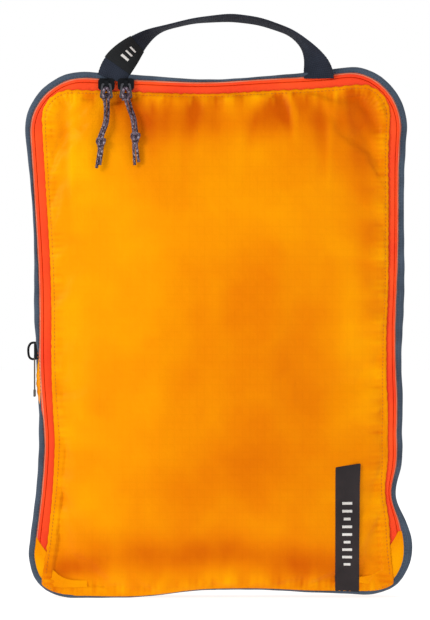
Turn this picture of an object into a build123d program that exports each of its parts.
from build123d import *
import math
import os

# Compression packing cube, standing on its bottom edge. Millimetres, +Z up, front faces -Y.
# The origin is on the floor, under the middle of the body.

# Body outline, seen from the front
height = 350.0
base_half = 129.0
waist_half = 120.5
waist_z = 105.0
top_half = 127.5
base_corner = 33.0
top_corner = 40.0
waist_blend = 150.0

# Depth
edge_depth = 36.0
front_crown = 7.1
rear_crown = 8.1
cloth = 1.0
ply_gap = 0.3
shoulder_in = 28.0
shoulder_share = 0.4
flat_in = 72.0
flat_base_in = 60.0
least_corner = 8.0
flat_corner = 20.0

# Edge binding
binding_width = 4.2
binding_fold = 3.0
binding_proud = 0.9

# Main zipper round the lid
tape = 0.8
slot = 1.0
outer_tape_shown = 2.4
inner_tape_shown = 4.6
seam_lap = 3.0
coil_width = 1.3
coil_depth = 1.5
fold_z = 40.0
zip_end_outer_z = 44.0
zip_end_inner_z = 31.0

# Compression zipper round the sides
gusset_inset = 3.0
comp_shown = 14.4
comp_gap_low = 130.0
comp_gap_high = 157.0
pleat_width = 10.0
pleat_depth = 2.4
pleat_room = 2.2
bulge_out = 1.5

# Main sliders
slider_length = 11.0
slider_width = 8.0
slider_plate = 1.3
neck_length = 5.0
neck_clearance = 0.25
bridge_wall = 1.4
bridge_hole = 2.4
bridge_span = 6.8
left_slider_x = -73.0
right_slider_x = -60.0
coil_clearance = 0.35
plate_clearance = 0.4
plate_corner = 2.2
inner_plate_step = 1.0

# Pull rings
ring_bar = 1.3
ring_top = 6.4
ring_bottom = 9.0
ring_drop = 9.0
ring_tilt = 12.0
ring_corner = 1.4
bar_sag = 0.2

# Cord pulls
cord_d = 2.0
loop_r = 2.1
knot_d = 7.4
knot_h = 9.6
knot_round = 3.0

# Compression slider
comp_slider_length = 13.0
comp_slider_width = 9.0
comp_slider_low = 158.0
bail_r = 4.4
bail_wire = 1.4
bail_offset = 0.8
eye_reach = 1.3
eye_half = 1.5
tab_width = 6.0
tab_thick = 0.8
tab_end_thick = 1.5
tab_length = 30.6
tab_top = 2.2
tab_corner = 1.8
grip_height = 5.0

# Carry handle
webbing = 20.0
webbing_thick = 1.2
handle_half = 68.8
handle_rise = 37.4
arch_back = 3.4
anchor_height = 2.8
anchor_drop = 0.4
strap_lift = 0.5
size_label_thick = 0.35
size_label_gap = 0.05

# Front label
label_left = 79.4
label_width = 15.6
label_low = 6.0
label_high = 90.0
label_thick = 0.8

# Reach of the blocks that only cut, past every side of the cube
far = 500.0

# Planes worked out from the sizes above
edge_y = edge_depth / 2
binding_front = -edge_y - binding_fold / 2
tape_front = binding_front + binding_proud
tape_back = tape_front + tape
slot_outer = binding_width + ply_gap + outer_tape_shown
slot_inner = slot_outer + slot
panel_inset = slot_inner + inner_tape_shown
panel_rim_y = tape_front - ply_gap - cloth


def half_width(z):
    """Half the width of the body at a height."""
    if z < waist_z:
        return base_half + (waist_half - base_half) * z / waist_z
    return waist_half + (top_half - waist_half) * (z - waist_z) / (height - waist_z)


def block(x0, x1, y0, y1, z0, z1):
    """Box between two corners."""
    middle = Pos((x0 + x1) / 2, (y0 + y1) / 2, (z0 + z1) / 2)
    return middle * Box(abs(x1 - x0), abs(y1 - y0), abs(z1 - z0))


def outline(inset, y=0.0, base_inset=None, least_radius=least_corner):
    """Face of the body's outline at y, drawn in by inset, and by base_inset along the floor."""
    low = inset if base_inset is None else base_inset
    levels = [low, waist_z, height - inset]
    right = [(half_width(z) - inset, y, z) for z in levels]
    left = [(-x, y, z) for x, y, z in reversed(right)]
    base_r = max(base_corner - inset, least_radius)
    top_r = max(top_corner - inset, least_radius)
    radii = [base_r, waist_blend, top_r, top_r, waist_blend, base_r]
    return make_face(FilletPolyline(*right, *left, radius=radii, close=True).edges())


def prism(inset, y0, y1, base_inset=None):
    """The outline's solid between two depths."""
    return extrude(outline(inset, y0, base_inset), amount=y1 - y0, dir=(0, 1, 0))


def ring(outer, inner, y0, y1):
    """A band that follows the outline, from outer to inner inset."""
    return prism(outer, y0, y1) - prism(inner, y0, y1)


def dome(y, crown, side, base, facing):
    """Crowned panel solid: a flat rim of one cloth, then two slopes up to a flat middle."""
    rim = extrude(outline(side, y, base), amount=-facing * cloth, dir=(0, 1, 0))
    levels = [
        (side, base, 0.0),
        (side + shoulder_in, base + shoulder_in, shoulder_share),
        (side + flat_in, base + flat_base_in, 1.0),
    ]
    sections = [
        outline(s, y + facing * crown * share, b, least_corner + (flat_corner - least_corner) * share)
        for s, b, share in levels
    ]
    return rim + loft(sections, ruled=True)


def shell(y, crown, side, base, facing):
    """The dome less itself moved in by one cloth."""
    solid = dome(y, crown, side, base, facing)
    return solid - Pos(0, -facing * cloth, 0) * solid


def save(name, *solids):
    """Write one node."""
    found = [s for shape in solids for s in shape.solids()]
    export_step(Compound(children=found) if len(found) > 1 else found[0], f"parts/{name}.step")


os.makedirs("parts", exist_ok=True)

above_fold = block(-far, far, -far, far, fold_z + ply_gap / 2, far)
below_fold = block(-far, far, -far, far, -far, fold_z - ply_gap / 2)

# Rear section ---------------------------------------------------------------------------
gusset_end = edge_y - binding_fold / 2 - ply_gap
comp_edge = comp_shown / 2
back_rim_inset = binding_width + ply_gap
save("back_panel", shell(edge_y + binding_proud, rear_crown, back_rim_inset, back_rim_inset, 1))
save("rear_binding", ring(0, binding_width, -binding_front - binding_fold, -binding_front))
save("rear_gusset", ring(gusset_inset, gusset_inset + cloth, comp_edge + ply_gap, gusset_end))

gap_cut = block(-far, 0, -far, far, comp_gap_low, comp_gap_high)
coil_in = gusset_inset + tape + ply_gap
for name, side in (("rear", 1), ("front", -1)):
    y0, y1 = sorted((side * slot / 2, side * comp_edge))
    band = ring(gusset_inset, gusset_inset + tape, y0, y1) - gap_cut
    save(f"compression_tape_{name}", band)
    y0, y1 = sorted((side * slot / 2, side * (slot / 2 + coil_width)))
    save(f"compression_coil_{name}", ring(coil_in, coil_in + coil_depth, y0, y1) - gap_cut)

pleat_in = coil_in + coil_depth + pleat_room
pleat = ring(pleat_in, pleat_in + pleat_width, coil_width + slot, coil_width + slot + pleat_depth)
bulge = prism(gusset_inset - bulge_out, -comp_edge + ply_gap, comp_edge - ply_gap)
bulge = bulge - prism(pleat_in + cloth, -comp_edge, comp_edge)
bulge = bulge & block(-far, 0, -far, far, comp_gap_low + ply_gap, comp_gap_high - ply_gap)
save("expansion_gusset", pleat + bulge)

# Front section --------------------------------------------------------------------------
save("front_binding", ring(0, binding_width, binding_front, binding_front + binding_fold))
save("front_gusset", ring(gusset_inset, gusset_inset + cloth, -gusset_end, -comp_edge - ply_gap))

zip_low = block(-far, far, -far, far, zip_end_inner_z - 10, far)
outer_tape = ring(binding_width + ply_gap, slot_outer, tape_front, tape_back)
inner_band = ring(slot_inner, panel_inset + seam_lap, tape_front, tape_back)
coil_front = tape_back + ply_gap
coil_back = coil_front + coil_depth
outer_coil = ring(slot_outer - coil_width, slot_outer, coil_front, coil_back)
inner_coil = ring(slot_inner, slot_inner + coil_width, coil_front, coil_back)

# The corner pieces' slanted top edges, lower on the side nearest the middle
corner_tops = []
for side in (-1, 1):
    outer_x = side * (half_width(zip_end_outer_z) - binding_width)
    inner_x = side * (half_width(zip_end_inner_z) - panel_inset)
    slope = (zip_end_outer_z - zip_end_inner_z) / (outer_x - inner_x)
    far_x = side * far
    near_x = side * 60
    cut = Polyline(
        (near_x, 0, zip_end_inner_z + slope * (near_x - inner_x)),
        (far_x, 0, zip_end_inner_z + slope * (far_x - inner_x)),
        (far_x, 0, -far),
        (near_x, 0, -far),
        close=True,
    )
    corner_tops.append(extrude(make_face(cut.edges()), amount=far, dir=(0, 1, 0), both=True))
under_corners = corner_tops[0] + corner_tops[1]

covered = Pos(0, 0, ply_gap) * under_corners
save("main_zip_tape_outer", (outer_tape & zip_low) - covered)
save("main_zip_tape_tails", (ring(slot_inner, panel_inset, tape_front, tape_back) & below_fold) - covered)
save("main_zip_coil_outer", outer_coil & above_fold)

corner_band = ring(binding_width + ply_gap, 60, tape_front, tape_front + cloth)
corner_band = corner_band - prism(
    panel_inset - ply_gap, tape_front - 1, tape_back + 2, binding_width + ply_gap
)
corner_band = corner_band & under_corners
for side, name in ((-1, "left"), (1, "right")):
    save(f"corner_piece_{name}", corner_band & block(0, side * far, -far, far, -far, far))

panel = shell(panel_rim_y, front_crown, panel_inset, binding_width + ply_gap, -1)
save("front_panel_foot", panel & below_fold)

label_solid = dome(panel_rim_y, front_crown, panel_inset, binding_width + ply_gap, -1)
label_zone = block(
    label_left, label_left + label_width, -far, 0, label_low, label_high
)
label = Pos(0, -ply_gap - label_thick, 0) * label_solid - Pos(0, -ply_gap, 0) * label_solid
label = label & label_zone
save("front_label_foot", label & below_fold)

anchor_high = height - anchor_drop
anchor_front = binding_front - ply_gap - webbing_thick
for side, name in ((-1, "left"), (1, "right")):
    middle = side * handle_half
    save(
        f"handle_anchor_{name}",
        block(
            middle - webbing / 2,
            middle + webbing / 2,
            anchor_front,
            anchor_front + webbing_thick,
            anchor_high - anchor_height,
            anchor_high,
        ),
    )

# Lid ------------------------------------------------------------------------------------
save("front_panel", panel & above_fold)
save("front_label", label & above_fold)
save("main_zip_tape_inner", inner_band & above_fold)
save("main_zip_coil_inner", inner_coil & above_fold)

# Main sliders, pull rings and cord pulls ---------------------------------------------------
slot_z = height - (slot_outer + slot_inner) / 2
plate_back = binding_front - plate_clearance
plate_front = plate_back - slider_plate
bar_y = plate_front - bridge_hole / 2
bar_z = slot_z - bar_sag
inner_plate_front = coil_back + coil_clearance
lower_bar_y = bar_y - ring_drop * math.sin(math.radians(ring_tilt))
lower_bar_z = bar_z - ring_drop * math.cos(math.radians(ring_tilt))


def main_slider(x):
    """Slider of the main zipper: outer plate, neck in the slot, inner plate behind the lid's coil."""
    plate = block(
        x - slider_length / 2,
        x + slider_length / 2,
        plate_front,
        plate_back,
        slot_z - slider_width / 2,
        slot_z + slider_width / 2,
    )
    plate = fillet(plate.edges().filter_by(Axis.Y), plate_corner)
    neck_half = slot / 2 - neck_clearance
    neck = block(
        x - neck_length / 2,
        x + neck_length / 2,
        plate_back,
        inner_plate_front + slider_plate,
        slot_z - neck_half,
        slot_z + neck_half,
    )
    inner_plate = block(
        x - slider_length / 2 + inner_plate_step,
        x + slider_length / 2 - inner_plate_step,
        inner_plate_front,
        inner_plate_front + slider_plate,
        slot_z - slider_width / 2 + inner_plate_step / 2,
        slot_z + neck_half,
    )
    arch = block(
        x - bridge_wall,
        x + bridge_wall,
        plate_front - bridge_hole - bridge_wall,
        plate_front,
        slot_z - bridge_span / 2,
        slot_z + bridge_span / 2,
    )
    hole = block(
        x - 5,
        x + 5,
        plate_front - bridge_hole,
        plate_front,
        slot_z - bridge_span / 2 + bridge_wall,
        slot_z + bridge_span / 2 - bridge_wall,
    )
    arch = fillet(arch.edges().filter_by(Axis.X).sort_by(Axis.Y)[:2], bridge_wall * 0.85)
    return plate + neck + inner_plate + (arch - hole)


def pull_ring(x):
    """Flat trapezoid ring whose top bar passes through the slider's bridge."""
    top = bar_z + ring_bar / 2
    low = bar_z - ring_drop - ring_bar / 2

    def trapezoid(inset, radius):
        points = [
            (x - ring_top / 2 + inset, 0, top - inset),
            (x + ring_top / 2 - inset, 0, top - inset),
            (x + ring_bottom / 2 - inset, 0, low + inset),
            (x - ring_bottom / 2 + inset, 0, low + inset),
        ]
        face = make_face(FilletPolyline(*points, radius=radius, close=True).edges())
        return Pos(0, bar_y - ring_bar / 2, 0) * face

    outer = extrude(trapezoid(0, ring_corner), amount=ring_bar, dir=(0, 1, 0))
    inner = extrude(trapezoid(ring_bar, ring_corner / 3), amount=ring_bar, dir=(0, 1, 0))
    return (outer - inner).rotate(Axis((x, bar_y, bar_z), (1, 0, 0)), -ring_tilt)


def tube(points, first_radius=None):
    """Round cord along straight runs joined by tangent arcs. Prints its bends and its volume."""
    places = [Vector(*p) for p in points]
    radii = []
    for a, b, c in zip(places, places[1:], places[2:]):
        turn = math.radians((b - a).get_angle(c - b))
        shorter = min((b - a).length, (c - b).length)
        radii.append(0.45 * shorter / math.tan(turn / 2))
    if first_radius:
        radii[0] = first_radius
    path = FilletPolyline(*places, radius=radii)
    start = Plane(path @ 0, z_dir=path % 0)
    solid = sweep(start * Circle(cord_d / 2), path=path)
    expected = math.pi * cord_d**2 / 4 * path.length
    print("cord radii", [round(r, 1) for r in radii], "length", round(path.length, 1))
    print("  volume", round(solid.volume, 2), "section times length", round(expected, 2))
    return solid


# Each pull is one cord over the ring's lower bar. Its two legs lie side by side down to the knot.
# Routes run from the top of the bar to the knot, then from the knot to the cut end.
top_of_loop = lower_bar_z + loop_r
left_x = left_slider_x
right_x = right_slider_x
cord_y = lower_bar_y
pulls = {
    "left": {
        "knot": (-76.6, -27.9, 303.4),
        "a": [
            (left_x, cord_y, top_of_loop),
            (left_x - 1.2, cord_y - loop_r, top_of_loop),
            (left_x - 1.3, cord_y - loop_r, lower_bar_z - 3.0),
            (left_x - 2.6, cord_y - 2.6, lower_bar_z - 11.0),
            (-77.2, -27.9, 310.5),
            (-77.9, -28.0, 308.0),
        ],
        "b": [
            (left_x, cord_y, top_of_loop),
            (left_x + 1.2, cord_y + loop_r, top_of_loop),
            (left_x + 1.1, cord_y + loop_r - 0.3, lower_bar_z - 3.0),
            (left_x - 0.2, cord_y - 0.6, lower_bar_z - 11.0),
            (-74.8, -27.6, 310.5),
            (-75.4, -27.9, 308.0),
        ],
        "tail_a": [(-77.8, -27.9, 298.8), (-78.6, -28.1, 293.0), (-79.2, -28.3, 287.0)],
        "tail_b": [(-75.4, -27.9, 298.8), (-75.6, -27.9, 294.0), (-76.4, -28.0, 289.5)],
    },
    "right": {
        "knot": (-53.6, -27.9, 306.8),
        "a": [
            (right_x, cord_y, top_of_loop),
            (right_x - 1.2, cord_y - loop_r, top_of_loop),
            (right_x - 1.1, cord_y - loop_r, lower_bar_z - 3.0),
            (right_x + 0.6, cord_y - 2.6, lower_bar_z - 11.0),
            (-55.4, -27.9, 313.8),
            (-54.9, -28.0, 311.4),
        ],
        "b": [
            (right_x, cord_y, top_of_loop),
            (right_x + 1.2, cord_y + loop_r, top_of_loop),
            (right_x + 1.4, cord_y + loop_r - 0.3, lower_bar_z - 3.0),
            (right_x + 3.2, cord_y - 0.6, lower_bar_z - 11.0),
            (-53.0, -27.6, 313.8),
            (-52.4, -27.9, 311.4),
        ],
        "tail_a": [(-54.9, -27.9, 302.2), (-54.6, -28.0, 296.0), (-54.2, -28.2, 289.0)],
        "tail_b": [(-52.4, -27.9, 302.2), (-51.2, -28.0, 297.0), (-50.2, -28.1, 291.0)],
    },
}

for name, x in (("left", left_x), ("right", right_x)):
    save(f"main_slider_{name}", main_slider(x))
    save(f"pull_ring_{name}", pull_ring(x))
    pull = pulls[name]
    knot = Pos(*pull["knot"]) * Cylinder(knot_d / 2, knot_h)
    knot = fillet(knot.edges(), knot_round)
    save(f"pull_knot_{name}", knot)
    for leg in ("a", "b"):
        upper = tube(pull[leg], first_radius=loop_r - ply_gap)
        lower = tube(pull[f"tail_{leg}"])
        save(f"pull_cord_{name}_{leg}", upper - knot, lower - knot)

# Compression slider ---------------------------------------------------------------------
slide_z = comp_slider_low + comp_slider_length / 2
wall_x = -(half_width(slide_z) - gusset_inset)
outer_face = wall_x - coil_clearance - slider_plate
inner_face = wall_x + tape + ply_gap + coil_depth + coil_clearance


def compression_slider():
    """Slider of the side zipper, with a half-ring bail for its pull tab."""
    z0 = comp_slider_low
    z1 = comp_slider_low + comp_slider_length
    half = comp_slider_width / 2
    plate = block(outer_face, outer_face + slider_plate, -half, half, z0, z1)
    plate = fillet(plate.edges().filter_by(Axis.X), plate_corner)
    neck_half = slot / 2 - neck_clearance
    neck = block(
        outer_face + slider_plate,
        inner_face + slider_plate,
        -neck_half,
        neck_half,
        slide_z - neck_length / 2,
        slide_z + neck_length / 2,
    )
    step = inner_plate_step
    inner = block(
        inner_face, inner_face + slider_plate, step - half, half - step, z0 + step, z1 - step
    )
    centre = Pos(bail_x, 0, slide_z)
    wire = Rot(90, 0, 0) * Torus(bail_r, bail_wire / 2)
    bail = centre * wire & block(bail_x - 20, bail_x, -9, 9, z0 - 5, z1 + 5)
    feet = [
        Pos((bail_x + outer_face) / 2, 0, slide_z + s * bail_r)
        * Rot(0, 90, 0)
        * Cylinder(bail_wire / 2, outer_face - bail_x)
        for s in (-1, 1)
    ]
    return plate + neck + inner + bail + feet[0] + feet[1]


bail_x = outer_face - bail_offset


def compression_tab():
    """Thin pull tab that hangs from the bail by an eye."""
    low = slide_z - tab_length
    x0 = bail_x - tab_thick / 2
    x1 = bail_x + tab_thick / 2
    plate = block(x0, x1, -tab_width / 2, tab_width / 2, low, slide_z - tab_top)
    plate = fillet(plate.edges().filter_by(Axis.X), tab_corner)
    eye_z = slide_z - bail_r
    eye = block(x0 - 1, x1 + 1, -eye_half, eye_half, eye_z - eye_reach, eye_z + eye_reach)
    grip = block(
        bail_x - tab_end_thick / 2,
        bail_x + tab_end_thick / 2,
        -tab_width / 2,
        tab_width / 2,
        low,
        low + grip_height,
    )
    grip = fillet(grip.edges().filter_by(Axis.Y), tab_end_thick * 0.4)
    return plate - eye + grip


save("compression_slider", compression_slider())
save("compression_pull_tab", compression_tab())

# Carry handle ---------------------------------------------------------------------------
strap_y = anchor_front + webbing_thick / 2
strap_low = height + strap_lift
arch_y = strap_y + arch_back

# Stations along the strap: share of the half span, share of the rise, twist and lean in degrees
stations = [
    (-1.0, 0.0, 0, 0),
    (-0.97, 0.1, 1, 3),
    (-0.9, 0.27, 8, 8),
    (-0.76, 0.56, 42, 32),
    (-0.545, 0.765, 74, 60),
    (-0.23, 0.93, 88, 76),
    (0.09, 1.0, 90, 90),
    (0.36, 0.93, 90, 106),
    (0.68, 0.75, 84, 126),
    (0.87, 0.55, 62, 148),
    (0.97, 0.29, 26, 170),
    (1.0, 0.1, 4, 178),
    (1.0, 0.0, 0, 180),
]


def strap_section(station, wide, thick):
    """Cross-section of the strap at a station. Lean turns it from lying level to standing upright."""
    share, rise, twist, lean = station
    here = Vector(
        share * handle_half,
        strap_y + (arch_y - strap_y) * rise**0.5,
        strap_low + rise * handle_rise,
    )
    lean = math.radians(lean)
    twist = math.radians(twist)
    along = Vector(math.sin(lean), 0, math.cos(lean))
    flat = Vector(math.cos(lean), 0, -math.sin(lean))
    across = flat * math.cos(twist) + Vector(0, 1, 0) * math.sin(twist)
    return Plane(here, x_dir=across, z_dir=along) * Rectangle(wide, thick)


def strap(first, last, wide, thick):
    """The strap from one station to another."""
    sections = [strap_section(s, wide, thick) for s in stations[first : last + 1]]
    return loft([s.faces()[0] for s in sections], ruled=True)


save("handle_webbing", strap(0, len(stations), webbing, webbing_thick))

# The blank size label is a sleeve round the left leg, between two of its stations
label_over = 2 * (size_label_gap + size_label_thick)
label_bore = 2 * size_label_gap
sleeve = strap(1, 3, webbing + label_over, webbing_thick + label_over)
sleeve = sleeve - strap(1, 3, webbing + label_bore, webbing_thick + label_bore)
save("handle_size_label", sleeve)
